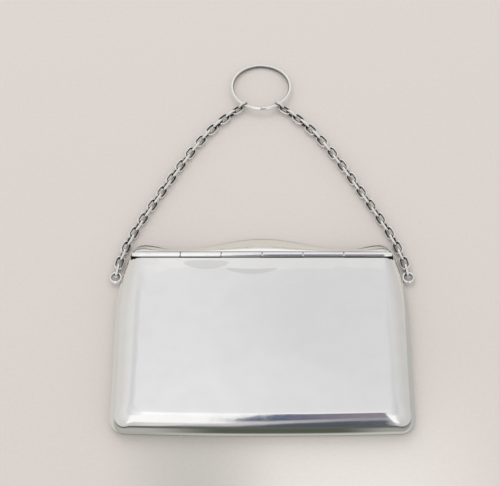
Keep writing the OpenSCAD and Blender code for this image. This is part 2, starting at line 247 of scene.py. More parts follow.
lamp_data = bpy.data.lights.new("window", "AREA")
lamp_data.shape = "RECTANGLE"
lamp_data.size = 0.7
lamp_data.size_y = 0.5
lamp_data.energy = 1.1
lamp = bpy.data.objects.new("window", lamp_data)
lamp.location = (-0.12, 0.52, 0.72)
lamp.rotation_euler = (Vector((0, 0, 0)) - lamp.location).to_track_quat("-Z", "Y").to_euler()
scene.collection.objects.link(lamp)
lamp.visible_glossy = False

# The dark room: part of a sphere with a wall, a slanting beam and a window, clear in between.
screen_r = 0.30
left_edge, right_edge, low_edge, high_edge = radians(-37), radians(37), radians(-8), radians(106)
cols, rows = 48, 72
verts, faces = [], []
for j in range(rows + 1):
    el = low_edge + (high_edge - low_edge) * j / rows
    for i in range(cols + 1):
        az = left_edge + (right_edge - left_edge) * i / cols
        verts.append((screen_r * sin(az), -screen_r * cos(az) * cos(el), screen_r * cos(az) * sin(el)))
        if i < cols and j < rows:
            a = j * (cols + 1) + i
            faces.append((a, a + 1, a + cols + 2, a + cols + 1))
screen_mesh = bpy.data.meshes.new("dark_screen")
screen_mesh.from_pydata(verts, [], faces)
screen = in_scene("dark_screen", screen_mesh)
m, net = new_material("dark room")
at = net.axes(net.place())
across = net.maths("DIVIDE", at["X"], screen_r)
up = net.maths("ARCTAN2", at["Z"], net.times(at["Y"], -1.0))
wall_top = net.plus(net.ramp(across, -0.20, -0.10, 0.03, 0.33),
                    net.plus(net.ramp(across, -0.066, -0.046, 0.0, 0.62),
                             net.ramp(across, -0.055, 0.030, 0.0, 0.70)))
wall = net.times(net.ramp(net.minus(wall_top, up), -0.06, 0.08), net.ramp(across, 0.31, 0.255))
beam_mid = net.ramp(across, -0.05, 0.17, 0.33, 0.74, False)
off_beam = net.maths("ABSOLUTE", net.minus(up, beam_mid))
off_beam = net.maths("DIVIDE", off_beam, net.ramp(across, -0.06, 0.03, 0.36, 0.22))
beam = net.times(net.ramp(off_beam, 1.1, 0.35), net.ramp(across, 0.25, -0.05, 0.4, 1.0))
room = net.mixed(net.ramp(up, 0.55, 0.95), srgb(80, 86, 94), srgb(86, 96, 122))
room = net.mixed(net.times(net.ramp(across, 0.04, 0.15), net.ramp(up, 0.7, 1.1)), room,
                 srgb(132, 124, 136))
room = net.mixed(net.times(beam, 0.9), room, srgb(206, 202, 206))
window = net.times(net.ramp(up, 0.30, 0.46), net.ramp(up, 1.42, 1.22))
window = net.times(window, net.ramp(net.away_from(across), 0.62, 0.5))
room = net.mixed(wall, (1.0, 1.0, 1.0, 1), room)
net.show(net.either(net.most(wall, window), net.add("ShaderNodeBsdfTransparent"),
                    net.add("ShaderNodeEmission", in_Color=room)))
screen_mesh.materials.append(m)
for seen_by in ("camera", "diffuse", "transmission", "volume_scatter", "shadow"):
    setattr(screen, "visible_" + seen_by, False)

# ---- Front shell -------------------------------------------------------------------------------
# A shallow pan of thin silver sheet, stamped in one blow, with a rolled rim all round. Past the
# hinge its edge is raised into a hood and cut to a serpentine crest with three humps.
case_w, body_h, case_t, sheet, crown = 96.0, 62.2, 8.5, 0.7, 0.3
rim_z, seam_gap, corner_r, bottom_bow = 1.6, 0.12, 5.0, 0.6
taper_in, taper_len, front_roll = 3.1, 20.0, 3.0
crest_mid, crest_low, crest_hump = 10.1, 5.85, 7.6
hollow_x, hump_x, crest_corner, hood_power = 29.0, 39.5, 3.2, 1.4
barrel_r, barrel_gap, barrel_proud, hood_lift, hinge_roll = 1.0, 0.25, 0.7, 0.1, 5.0
half_case = case_w / 2
bottom_y = -(body_h + crest_mid) / 2
hinge_y = bottom_y + body_h
edge_z = case_t - crown
hinge_z = edge_z - barrel_r + barrel_proud
edge_dist = barrel_r + barrel_gap
hood_y = hinge_y + edge_dist
hood_edge_z = hinge_z + hood_lift


def draw_in(y):
    return max(0.0, (y - hinge_y + taper_len) / taper_len)


def half_w(y):
    return half_case - taper_in * draw_in(y) ** 2


def wave(t):
    return (1 - cos(pi * t)) / 2


def crest_rise(x):
    x = abs(x)
    if x < hollow_x:
        return crest_mid + (crest_low - crest_mid) * wave(x / hollow_x)
    return crest_low + (crest_hump - crest_low) * wave((x - hollow_x) / (hump_x - hollow_x))


def low_half(y_end, in_side, in_hinge, in_bottom, r, bottom=16, corner=12, straight=26):
    y0 = bottom_y + in_bottom
    y1 = y0 + bottom_bow + r

    def side_in(y):
        return in_side + (in_hinge - in_side) * min(1.0, draw_in(y)) ** 2
    cx = half_w(y1) - side_in(y1) - r
    pts = [(cx * i / bottom, y0 + bottom_bow * (i / bottom) ** 2) for i in range(bottom)]
    for i in range(corner + 1):
        a = -pi / 2 + pi / 2 * i / corner
        pts.append((cx + r * cos(a), y1 + r * sin(a)))
    for i in range(1, straight + 1):
        y = y1 + (y_end - y1) * i / straight
        pts.append((half_w(y) - side_in(y), y))
    return pts


def crest_half(inset, corner=10, along=84):
    y0 = hinge_y + crest_corner
    rx = half_w(y0) - inset - hump_x
    ry = crest_hump - crest_corner - inset
    pts = [(hump_x + rx * cos(pi / 2 * i / corner), y0 + ry * sin(pi / 2 * i / corner))
           for i in range(corner + 1)]
    for i in range(1, along + 1):
        x = hump_x * (1 - i / along)
        pts.append((x, hinge_y + crest_rise(x) - inset))
    return pts


def flipped(pts):
    return [(-x, y) for x, y in reversed(pts)]


def front_outline(inset):
    half = low_half(hood_y, inset, inset, inset, corner_r - inset / 2) + crest_half(inset)
    return half + flipped(half[1:-1])


def rolled(flat, rim, z0, z1, steps):
    rings = []
    for j in range(steps + 1):
        a = pi / 2 * j / steps
        rings.append([(p[0] + (q[0] - p[0]) * sin(a), p[1] + (q[1] - p[1]) * sin(a),
                       z1 + (z0 - z1) * cos(a)) for p, q in zip(flat, rim)])
    return rings


def closed_skin(name, rings, first, last):
    """A closed mesh over a stack of rings, with a fan to one point at each end, in millimetres."""
    count = len(rings[0])
    verts = [p for ring in rings for p in ring] + [first, last]
    a0, b0 = len(verts) - 2, len(verts) - 1
    end = (len(rings) - 1) * count
    faces = []
    for i in range(count):
        k = (i + 1) % count
        faces.append((a0, k, i))
        faces.append((b0, end + i, end + k))
        for j in range(len(rings) - 1):
            a = j * count
            faces.append((a + i, a + k, a + count + k, a + count + i))
    return solid_mesh(name, verts, faces)


def raw_mesh(name, verts, faces):
    mesh = bpy.data.meshes.new(name)
    mesh.from_pydata([Vector(v) * mm for v in verts], [], faces)
    return mesh


def solid_mesh(name, verts, faces, merge=True):
    """A mesh with its faces outward, from millimetres."""
    mesh = raw_mesh(name, verts, faces)
    bm = bmesh.new()
    bm.from_mesh(mesh)
    if merge:
        bmesh.ops.remove_doubles(bm, verts=bm.verts, dist=1e-7)
    bmesh.ops.recalc_face_normals(bm, faces=bm.faces)
    bm.to_mesh(mesh)
    bm.free()
    return mesh


def joined(verts, faces, more_verts, more_faces):
    """Adds one shape to the verts and faces that are there."""
    faces += [tuple(k + len(verts) for k in face) for face in more_faces]
    verts += more_verts


def block_parts(low, high):
    verts = [(x, y, z) for x in (low[0], high[0]) for y in (low[1], high[1]) for z in (low[2], high[2])]
    return verts, [(0, 1, 3, 2), (4, 6, 7, 5), (0, 4, 5, 1), (2, 3, 7, 6), (0, 2, 6, 4), (1, 5, 7, 3)]


def block_mesh(name, low, high):
    return solid_mesh(name, *block_parts(low, high))


def made_plain(ob):
    """Puts the result of the object's modifiers in its mesh."""
    shape = ob.evaluated_get(bpy.context.evaluated_depsgraph_get())
    mesh = bpy.data.meshes.new_from_object(shape)
    ob.modifiers.clear()
    ob.data = mesh
    return ob


def combined(ob, other_mesh, how):
    tool = in_scene("tool", other_mesh)
    cut = ob.modifiers.new("cut", "BOOLEAN")
    cut.operation = how
    cut.solver = "EXACT"
    cut.object = tool
    made_plain(ob)
    bpy.data.objects.remove(tool)
    return ob


def smooth(ob, angle=35):
    mesh = ob.data
    mesh.polygons.foreach_set("use_smooth", [True] * len(mesh.polygons))
    mesh.set_sharp_from_angle(angle=radians(angle))
    return ob


def dressed(ob, material, body, slot, *nodes):
    """Gives the piece its material and its body, and lets it stand for its CAD nodes."""
    ob.data.materials.clear()
    ob.data.materials.append(material)
    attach(ob, body)
    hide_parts(*nodes)
    return ob


def front_pan(inset, z0, steps=14):
    rings = rolled(front_outline(front_roll), front_outline(inset), z0, rim_z, steps)
    return closed_skin("pan", list(reversed(rings)), (0, 0, rim_z), (0, 0, z0))


hood_half = half_w(hood_y)


def hood_start(x):
    if abs(x) < hood_half - hinge_roll:
        return hood_edge_z
    t = (abs(x) - hood_half + hinge_roll) / hinge_roll
    return rim_z + (hood_edge_z - rim_z) * sqrt(max(0.0, 1 - t * t))


def hood(inset, drop, reach, rows=20):
    half = crest_half(inset)
    rim = half + flipped(half[:-1])
    count = len(rim)
    wide = (hood_half - inset) / rim[0][0]
    stack = [[(x * (1 - front_roll / 2 / half_case), hood_y - reach, sheet / 2) for x, y in rim]]
    for j in range(rows + 1):
        v = j / rows
        ring = []
        for x, y in rim:
            ax, ay = x * wide, hood_y - reach
            z = hood_start(ax) - drop
            ring.append((ax + (x - ax) * v, ay + (y - ay) * v,
                         max(rim_z, rim_z + (z - rim_z) * (1 - v ** hood_power))))
        stack.append(ring)
    shrink = 1 - front_roll / 2 / half_case
    stack.append([(x * shrink, y * shrink, sheet / 2) for x, y in rim])
    verts = [p for ring in stack for p in ring]
    faces = []
    for j in range(len(stack)):
        a, b = j * count, (j + 1) % len(stack) * count
        for i in range(count - 1):
            faces.append((a + i, a + i + 1, b + i + 1, b + i))
    faces.append([j * count for j in range(len(stack))])
    faces.append([j * count + count - 1 for j in range(len(stack))])
    return solid_mesh("hood", verts, faces)


front = in_scene("front_shell_sheet", front_pan(0, 0))
combined(front, hood(0, 0, 0), "UNION")
inner = front_pan(sheet, sheet)
for v in inner.vertices:
    v.co.z += 0.001 * mm
combined(front, inner, "DIFFERENCE")
combined(front, hood(sheet, sheet, edge_dist), "DIFFERENCE")
smooth(front)


def with_recess(mesh, values):
    layer = mesh.attributes.new("recess", "FLOAT", "POINT")
    layer.data.foreach_set("value", values)


def eased(low, high, value):
    t = max(0.0, min(1.0, (value - low) / (high - low)))
    return t * t * (3 - 2 * t)


# Painted shade: a dark line along the edge of the crest, darkest towards the humps, and a dark line along
# the seam below the hinge.
marks = []
for v in front.data.vertices:
    x, y, z = v.co / mm
    line = 0.0
    if y > hood_y and abs(x) < hump_x + 6:
        from_edge = hinge_y + crest_rise(min(abs(x), hump_x)) - y
        at_hump = eased(14, 32, abs(x))
        line = eased(0.9 + 1.9 * at_hump, 0.2 + 1.0 * at_hump, from_edge) * (0.55 + 0.45 * at_hump)
    seam = 0.5 * eased(rim_z - 0.3, rim_z, z) if y < hood_y else 0.0
    marks.append(max(line, seam))
with_recess(front.data, marks)


def new_group(name, kind, inputs, outputs):
    """A node group: its net, its input and output nodes, and the identifiers of its inputs."""
    group = bpy.data.node_groups.new(name, kind)
    sockets = {}
    for in_out, rows in (("INPUT", inputs), ("OUTPUT", outputs)):
        for title, socket_kind, *value in rows:
            s = group.interface.new_socket(name=title, in_out=in_out, socket_type="NodeSocket" + socket_kind)
            if value:
                s.default_value = value[0]
            if in_out == "INPUT":
                sockets[title] = s.identifier
    net = Net(group)
    return net, net.add("NodeGroupInput").outputs, net.add("NodeGroupOutput").inputs, sockets


# The silver: bright, rubbed for a century by hands and cloths, so it carries hair scratches in
# many directions, a faint unevenness, a little dark tarnish where no cloth reaches, and painted shade
# along seams and edges and on the shaded sides of round parts.
def rubbed_silver_group():
    net, given, out, _ = new_group(
        "rubbed silver", "ShaderNodeTree",
        [("Vector", "Vector"), ("Recess", "Float", 0.0), ("Scratches", "Float", 0.5),
         ("Dent", "Float", 0.5), ("Roughness", "Float", 0.12), ("Tarnish", "Float", 0.3)],
        [("Color", "Color"), ("Roughness", "Float"), ("Height", "Float")])
    hair = None
    for turn, long, fine in ((20, 260.0, 9000.0), (-37, 190.0, 7000.0), (78, 320.0, 11000.0)):
        turned = net.add("ShaderNodeMapping", vector_type="POINT", in_Vector=given["Vector"],
                         in_Rotation=(0, 0, radians(turn)), in_Scale=(long, fine, long))
        thin = net.ramp(net.noise(turned.outputs[0], 1.0, 1.0), 0.66, 0.76)
        hair = thin if hair is None else net.most(hair, thin)
    hair = net.times(hair, net.ramp(net.noise(given["Vector"], 90.0, 2.0), 0.35, 0.65))
    hair = net.times(hair, given["Scratches"])
    cloud = net.noise(given["Vector"], 140.0, 5.0, in_Roughness=0.6)
    film = net.times(net.ramp(cloud, 0.42, 0.72), given["Tarnish"])
    # Recess takes the colour nearly to black: partly tarnish, partly painted shade.
    dark = net.most(given["Recess"], 0.0, clamp=True)
    metal = net.mixed(film, (0.94, 0.935, 0.925, 1), (0.84, 0.82, 0.785, 1))
    net.feed(out["Color"], net.mixed(dark, metal, (0.018, 0.017, 0.018, 1)))
    rough = net.plus(given["Roughness"], net.times(film, 0.12))
    rough = net.plus(rough, net.times(hair, 0.15))
    net.feed(out["Roughness"], net.plus(rough, net.times(dark, 0.35), clamp=True))
    swell = net.times(net.noise(given["Vector"], 55.0, 1.0), given["Dent"])
    net.feed(out["Height"], net.minus(swell, net.times(hair, 0.012)))
    return net.tree


silver_surface = rubbed_silver_group()


def silver(name, relief=None, shaded_spots=None, **values):
    """The shared finish in one piece's values. relief adds its own shallow forms, the next function its
    spots of painted shade.
    """
    m, net = new_material(name)
    place = net.place()
    recess = net.add("ShaderNodeAttribute", attribute_name="recess").outputs["Fac"]
    if shaded_spots:
        recess = net.most(recess, shaded_spots(net, place))
    surface = net.add("ShaderNodeGroup", node_tree=silver_surface, in_Vector=place, in_Recess=recess)
    for key, value in values.items():
        surface.inputs[key.capitalize()].default_value = value
    bump = net.add("ShaderNodeBump", in_Strength=1.0, in_Distance=0.0002,
                   in_Height=surface.outputs["Height"])
    if relief:
        form = net.add("ShaderNodeBump", in_Strength=1.0, in_Distance=1.0, in_Height=relief(net, place))
        net.feed(bump.inputs["Normal"], form.outputs[0])
    net.show(net.add("ShaderNodeBsdfPrincipled", in_Metallic=1.0, in_Base_Color=surface.outputs["Color"],
                     in_Roughness=surface.outputs["Roughness"], in_Normal=bump.outputs[0]))
    return m


shell_silver = silver("rubbed silver sheet", scratches=0.6, dent=0.35, roughness=0.13, tarnish=0.25)
dressed(front, shell_silver, "case", "silver", "front_shell")

# ---- Rim strip ---------------------------------------------------------------------------------
# A thin strip of silver bent round inside the bottom and lower sides and soldered to the front
# shell. It stands past the seam and centres the back when the case closes.
bezel_t, bezel_h, bezel_play, bezel_seat = 0.45, 1.85, 0.3, 0.35
bezel_in = sheet + seam_gap + bezel_play
bezel_low = rim_z - bezel_seat
bezel_end = hinge_y - taper_len


def strip_along(name, inner, outer, z0, z1, ease):
    """A bar between two outlines with eased top edges, closed at both ends."""
    rows = []
    for (ix, iy), (ox, oy) in zip(inner, outer):
        w = sqrt((ox - ix) ** 2 + (oy - iy) ** 2)
        e = ease / w

        def at(t, z, ix=ix, iy=iy, ox=ox, oy=oy):
            return ix + (ox - ix) * t, iy + (oy - iy) * t, z
        rows.append([at(0, z0), at(0, z1 - ease), at(e * 0.3, z1 - ease * 0.3), at(e, z1),
                     at(1 - e, z1), at(1 - e * 0.3, z1 - ease * 0.3), at(1, z1 - ease), at(1, z0)])
    size = len(rows[0])
    faces = [tuple(range(size)), tuple(range((len(rows) - 1) * size, len(rows) * size))]
    for j in range(len(rows) - 1):
        for i in range(size):
            a, b = j * size + i, j * size + (i + 1) % size
            faces.append((a, b, b + size, a + size))
    return solid_mesh(name, [p for row in rows for p in row], faces)


def both_sides(half):
    return flipped(half[1:]) + half


bezel = in_scene("rim_strip", strip_along(
    "rim_strip",
    both_sides(low_half(bezel_end, bezel_in + bezel_t, bezel_in + bezel_t, bezel_in + bezel_t,
                        corner_r - bezel_in - bezel_t)),
    both_sides(low_half(bezel_end, bezel_in, bezel_in, bezel_in, corner_r - bezel_in)),
    bezel_low, bezel_low + bezel_h, 0.1))
smooth(bezel)
dressed(bezel, shell_silver, "case", "silver", "bezel")

# ---- Linings and card pocket -------------------------------------------------------------------
# Thin goatskin, pasted to the flats of both shells. The one in the back is stitched round its edge,
# and on the front one lies a stitched pocket, moulded over a card and cut out for the thumb.
lining_t, pocket_t, inner_gap = 0.4, 0.4, 0.05
lining_margin, lining_to_hinge, pocket_margin, pocket_to_hinge = 0.4, 2.0, 0.5, 2.6
lining_in, lining_top = front_roll + lining_margin, hinge_y - lining_to_hinge
side_roll, bottom_roll, panel_r = 7.5, 4.0, 2.0
pocket_depth, notch_r, mouth_inset = 4.25, 11.0, 11.0


def leather(name, colour, worn, grain):
    m, net = new_material(name)
    place = net.place()
    pores = net.add("ShaderNodeTexVoronoi", in_Vector=place, in_Scale=grain).outputs["Distance"]
    folds = net.noise(place, grain * 0.8, 5.0, in_Roughness=0.6)
    patch = net.noise(place, 110.0, 3.0)
    height = net.plus(net.ramp(pores, 0.0, 0.5, 0.0, 0.7), net.times(folds, 0.6))
    tone = net.mixed(net.ramp(patch, 0.35, 0.7), colour, worn)
    tone = net.mixed(net.ramp(height, 0.25, 0.7, 0.45, 0.0), tone,
                     tuple(c * 0.35 for c in colour[:3]) + (1,))
    bump = net.add("ShaderNodeBump", in_Strength=0.7, in_Distance=0.00006, in_Height=height)
    net.show(net.add("ShaderNodeBsdfPrincipled", in_Specular_IOR_Level=0.35, in_Base_Color=tone,
                     in_Roughness=net.ramp(folds, 0.3, 0.7, 0.42, 0.62), in_Normal=bump.outputs[0]))
    return m


goatskin = leather("brown goatskin", srgb(104, 62, 38), srgb(128, 82, 54), 1500.0)
waxed_thread, net = new_material("waxed thread")
ply = net.add("ShaderNodeTexWave", in_Vector=net.place(), in_Scale=1400.0, in_Distortion=1.5)
thread_tone = net.mixed(ply.outputs["Fac"], srgb(176, 140, 96), srgb(214, 184, 138))
net.show(net.add("ShaderNodeBsdfPrincipled", in_Roughness=0.6, in_Base_Color=thread_tone))


def soft_sheet(name, outline_at, z0, thick, steps=5):
    """A sheet whose edge is rounded off: outline_at(inset) gives its outline at each height."""
    r = thick * 0.45
    rings = [outline_at(r)] + [outline_at(r * (1 - sin(pi * j / steps))) for j in range(steps + 1)]
    heights = [z0] + [z0 + r * (1 - cos(pi * j / steps)) / 2 * thick / r for j in range(steps + 1)]
    stack = [[(x, y, z) for x, y in ring] for ring, z in zip(rings[1:], heights[1:])]
    return closed_skin(name, stack, (0, 0, z0), (0, 0, z0 + thick))


def closed(half):
    return half + flipped(half[1:])


def put_on(net, given, out, points, piece, rotation, **more):
    """Ends a group: the piece on each point, made real, shaded smooth and given its material."""
    last = net.add("GeometryNodeInstanceOnPoints", in_Points=points, in_Instance=piece,
                   in_Rotation=rotation, **more)
    for kind in ("RealizeInstances", "SetShadeSmooth"):
        last = net.add("GeometryNode" + kind, in_Geometry=last.outputs[0])
    coat = net.add("GeometryNodeSetMaterial", in_Geometry=last.outputs[0], in_Material=given["Material"])
    net.feed(out[0], coat.outputs[0])
    return net.tree


def stitch_group():
    net, given, out, sockets = new_group(
        "stitches along a line", "GeometryNodeTree",
        [("Geometry", "Geometry"), ("Spacing", "Float", 0.0016), ("Length", "Float", 0.0011),
         ("Thread", "Float", 0.00022), ("Material", "Material")], [("Geometry", "Geometry")])
    line = net.add("GeometryNodeMeshToCurve", in_Mesh=given["Geometry"])
    even = net.add("GeometryNodeCurveToPoints", mode="LENGTH", in_Curve=line.outputs[0],
                   in_Length=given["Spacing"])
    bead = net.add("GeometryNodeMeshUVSphere", in_Segments=8, in_Rings=6, in_Radius=0.5)
    sized = net.add("ShaderNodeCombineXYZ", in_X=given["Thread"], in_Y=given["Thread"],
                    in_Z=given["Length"])
    return put_on(net, given, out, even.outputs["Points"], bead.outputs["Mesh"],
                  even.outputs["Rotation"], in_Scale=sized.outputs[0]), sockets


def grown(name, mesh, group_and_sockets, **values):
    """What a node group makes of the mesh, with its named inputs set, as a plain object."""
    ob = in_scene(name, mesh)
    mod = ob.modifiers.new(name, "NODES")
    mod.node_group, sockets = group_and_sockets
    for key, value in values.items():
        mod[sockets[key.replace("_", " ")]] = value
    return made_plain(ob)


stitches = stitch_group()


def stitched(name, outline, z, body, round_trip=True):
    path = bpy.data.meshes.new(name)
    count = len(outline)
    path.from_pydata([(x * mm, y * mm, z * mm) for x, y in outline],
                     [(i, (i + 1) % count) for i in range(count if round_trip else count - 1)], [])
    ob = grown(name, path, stitches, Material=waxed_thread)
    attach(ob, body)
    return ob


def front_lining_at(inset):
    return closed(low_half(lining_top - inset, lining_in + inset, lining_in + inset, lining_in + inset,
                           panel_r))


lining_z = sheet + inner_gap
front_lining = smooth(in_scene("front_lining_leather",
                               soft_sheet("front_lining", front_lining_at, lining_z, lining_t)))
dressed(front_lining, goatskin, "case", "lining", "front_lining")


def back_lining_at(inset):
    more = lining_margin + inset
    return closed(low_half(lining_top - inset, side_roll + more, hinge_roll + more, bottom_roll + more,
                           panel_r))


back_lining_z = edge_z - sheet - inner_gap - lining_t
back_lining = smooth(in_scene("back_lining_leather",
                              soft_sheet("back_lining", back_lining_at, back_lining_z, lining_t)))
dressed(back_lining, goatskin, "back", "lining", "back_lining")
stitched("back_lining_stitches", back_lining_at(1.2), back_lining_z, "back")

pocket_z = sheet + 2 * inner_gap + lining_t
pocket_in, pocket_top = front_roll + pocket_margin, hinge_y - pocket_to_hinge


def pocket_at(inset):
    return closed(low_half(pocket_top - inset, pocket_in + inset, pocket_in + inset, pocket_in + inset,
                           panel_r))


def pocket_skin(inset, z_top, bend, steps=6):
    rings = [[(x, y, pocket_z) for x, y in pocket_at(inset)]]
    for j in range(steps + 1):
        a = pi / 2 * j / steps
        rings.append([(x, y, z_top - bend * (1 - sin(a)))
                      for x, y in pocket_at(inset + bend * (1 - cos(a)))])
    return rings


pocket_h = pocket_depth + pocket_t
outer = pocket_skin(0, pocket_z + pocket_h, 0.9)
inner = pocket_skin(pocket_t, pocket_z + pocket_depth, 0.5)
pocket = in_scene("card_pocket_leather", closed_skin(
    "card_pocket", list(reversed(outer)) + inner, (0, 0, pocket_z + pocket_h),
    (0, 0, pocket_z + pocket_depth)))
mouth_y = bottom_y + mouth_inset
combined(pocket, block_mesh("mouth", (-60, bottom_y - 5, 0), (60, mouth_y, 20)), "DIFFERENCE")
thumb = [(notch_r * cos(2 * pi * i / 64), mouth_y + notch_r * sin(2 * pi * i / 64)) for i in range(64)]
combined(pocket, closed_skin("notch", [[(x, y, 1.5) for x, y in thumb], [(x, y, 12) for x, y in thumb]],
                             (0, mouth_y, 1.5), (0, mouth_y, 12)), "DIFFERENCE")
smooth(pocket, 50)
dressed(pocket, goatskin, "case", "lining", "card_pocket")
stitched("card_pocket_stitches", [p for p in pocket_at(1.5) if p[1] > mouth_y + 1.0],
         pocket_z + pocket_h, "case", False)

# ---- Back shell --------------------------------------------------------------------------------
# The deeper stamping: a long flat panel, very slightly crowned, that rolls over in one soft sweep
# to the seam. Beside the hinge it is cut off straight, and two small ears run on past the barrel.
barrel_half = 43.0
back_rim_z = rim_z + seam_gap
crown_y = -2.0
# The bottom roll and the panel's corners, drawn softer than in the solids
soft_bottom, soft_corner = 5.0, 4.5


def back_outline(in_side, in_hinge, in_bottom, r, past=0.0):
    return closed(low_half(hood_y + edge_dist + past, in_side, in_hinge, in_bottom, r, 24, 16, 40))


def crowned(panel, z0, steps=16):
    rings = []
    for k in range(1, steps):
        s = 1 - k / steps
        rings.append([(x * s, crown_y + (y - crown_y) * s, z0 + crown * (1 - s * s) ** 2)
                      for x, y in panel])
    return rings


def back_pan(inset, z0, past, foot, steps):
    panel = back_outline(side_roll, hinge_roll, soft_bottom, soft_corner, past)
    rim = back_outline(inset, inset, inset, corner_r - inset / 2, past)
    rings = list(reversed(crowned(panel, z0))) + rolled(panel, rim, z0, back_rim_z, steps)
    if foot:
        rings.append([(x, y, back_rim_z - foot) for x, y in rim])
    return closed_skin("back_pan", rings, (0, crown_y, z0 + crown),
                       (0, crown_y, back_rim_z - foot))


def flat_panel(net, place):
    """The flat that the stamp left: beyond its uneven edge the sheet starts to fall away."""
    at = net.axes(place)
    wander = 0.0
    for scale, size in ((55.0, 0.0030), (210.0, 0.0011)):
        wander = net.plus(wander, net.ramp(net.noise(place, scale, 1.0), 0.0, 1.0, -size / 2, size / 2,
                                           False))
    corner = net.times(net.ramp(at["X"], -0.012, -0.016), net.ramp(at["Y"], 0.0, 0.004))
    radius = net.ramp(corner, 0.0, 1.0, 0.003, 0.012, False)
    past = []
    for axis, mid, half in (("X", 0.0002, 0.0402), ("Y", -0.0055, 0.0265)):
        d = net.plus(net.minus(net.away_from(at[axis], mid), half), net.plus(radius, wander))
        past.append(net.maths("POWER", net.most(d, 0.0), 2.0))
    out_by = net.minus(net.maths("SQRT", net.plus(*past)), radius)
    return net.times(net.maths("SMOOTH_MAX", out_by, 0.0, 0.0005), -0.024)


def under_hinge(net, place):
    """Two spots under the hinge, a little darker in colour: painted shade."""
    at = net.axes(place)
    spots = None
    for x, y, wide, deep, bow in ((-0.0185, 0.0222, 0.0075, 0.0017, 14.0),
                                  (-0.0035, 0.0196, 0.0085, 0.0010, 16.0)):
        dx = net.minus(at["X"], x)
        dy = net.minus(net.minus(at["Y"], y), net.times(net.maths("POWER", dx, 2.0), bow))
        far = net.plus(net.maths("POWER", net.maths("DIVIDE", dx, wide), 2.0),
                       net.maths("POWER", net.maths("DIVIDE", dy, deep), 2.0))
        spot = net.ramp(far, 1.15, 0.75, 0.0, 0.15)
        spots = spot if spots is None else net.most(spots, spot)
    return spots


back_silver = silver("rubbed silver panel", flat_panel, under_hinge, scratches=0.6, dent=0.8, roughness=0.11,
                     tarnish=0.2)
back = in_scene("back_shell_sheet", back_pan(0, edge_z, 0, 0, 30))
combined(back, back_pan(sheet, edge_z - sheet, 4.0, 0.5, 20), "DIFFERENCE")
ear_x = barrel_half + 2 * barrel_gap
combined(back, block_mesh("hinge_cut", (-ear_x, hinge_y - edge_dist, 0), (ear_x, hinge_y + 9, 17)),
         "DIFFERENCE")
combined(back, block_mesh("ear_cut", (-60, hood_y - seam_gap, 0), (60, hinge_y + 20, 17)), "DIFFERENCE")
smooth(back)
# Painted shade: a dark line along the seam, at the foot of the roll.
with_recess(back.data, [0.45 * eased(2.3, 1.75, v.co.z / mm) for v in back.data.vertices])
dressed(back, back_silver, "back", "silver", "back_shell")

# ---- Hinge -------------------------------------------------------------------------------------
# Six knuckles of drawn silver tube on one wire pin, alternately soldered to the back and the front.
# The outer ends are filed to a taper that dies into the case.
pin_r, pin_clear = 0.45, 0.05
knuckle_len, knuckle_taper, knuckle_gap = 13.5, 3.0, 0.2
bore_r = pin_r + pin_clear


def turned_piece(profile, centre, around=40):
    """Verts and faces of a closed profile of (x, r) turned about the line through centre along X."""
    count = len(profile)
    verts, faces = [], []
    for k in range(around):
        a = 2 * pi * k / around
        b = (k + 1) % around
        verts += [(x, centre[0] + r * cos(a), centre[1] + r * sin(a)) for x, r in profile]
        for i in range(count):
            j = (i + 1) % count
            faces.append((k * count + i, k * count + j, b * count + j, b * count + i))
    return verts, faces


def knuckle_parts(i):
    """One knuckle and its two ends. Rings close to each end keep the barrel evenly shaded."""
    x0 = -barrel_half if i == 0 else (i - 3) * knuckle_len + knuckle_gap / 2
    x1 = barrel_half if i == 5 else (i - 2) * knuckle_len - knuckle_gap / 2
    ease, hold = 0.09, 0.12
    tip = (barrel_r + bore_r) / 2
    filed = [(knuckle_taper * t, tip + (barrel_r - tip) * sin(pi / 2 * t))
             for t in (0, 0.15, 0.3, 0.5, 0.7, 0.85, 1)]
    blunt = [(0, barrel_r - ease), (ease * 0.3, barrel_r - ease * 0.3), (ease, barrel_r)]

    def end(x, inward, form):
        points = [(ease, bore_r), (0, bore_r + ease)] + form + [(form[-1][0] + hold, barrel_r)]
        return [(x + inward * d, r) for d, r in points]
    profile = end(x0, 1, filed if i == 0 else blunt) + end(x1, -1, filed if i == 5 else blunt)[::-1]
    return turned_piece(profile, (hinge_y, hinge_z)), x0, x1


def knuckle_set(name, which, side):
    verts, faces = [], []
    for i in which:
        tube, x0, x1 = knuckle_parts(i)
        joined(verts, faces, *tube)
        leaf_x = x0 + (knuckle_taper if i == 0 else 0.1), x1 - (knuckle_taper if i == 5 else 0.1)
        leaf_y = sorted((hinge_y + side * (bore_r + 0.1), hinge_y + side * (edge_dist - 0.02)))
        leaf_z = (edge_z if side < 0 else hood_edge_z) - 0.02
        joined(verts, faces, *block_parts((leaf_x[0], leaf_y[0], leaf_z - sheet + 0.04),
                                          (leaf_x[1], leaf_y[1], leaf_z)))
    tubes = smooth(in_scene(name, solid_mesh(name, verts, faces)))
    # Painted shade: each barrel is dark from about its middle down, lightening towards its top.
    with_recess(tubes.data, [eased(0.75, 0.1, (v.co.z / mm - hinge_z) / barrel_r)
                             for v in tubes.data.vertices])
    return tubes


tube_silver = silver("drawn silver tube", scratches=0.5, dent=0.1, roughness=0.1, tarnish=0.4)
dressed(knuckle_set("back_knuckle_tubes", (0, 2, 4), -1), tube_silver, "back", "silver", "back_knuckles")
dressed(knuckle_set("front_knuckle_tubes", (1, 3, 5), 1), tube_silver, "case", "silver", "front_knuckles")

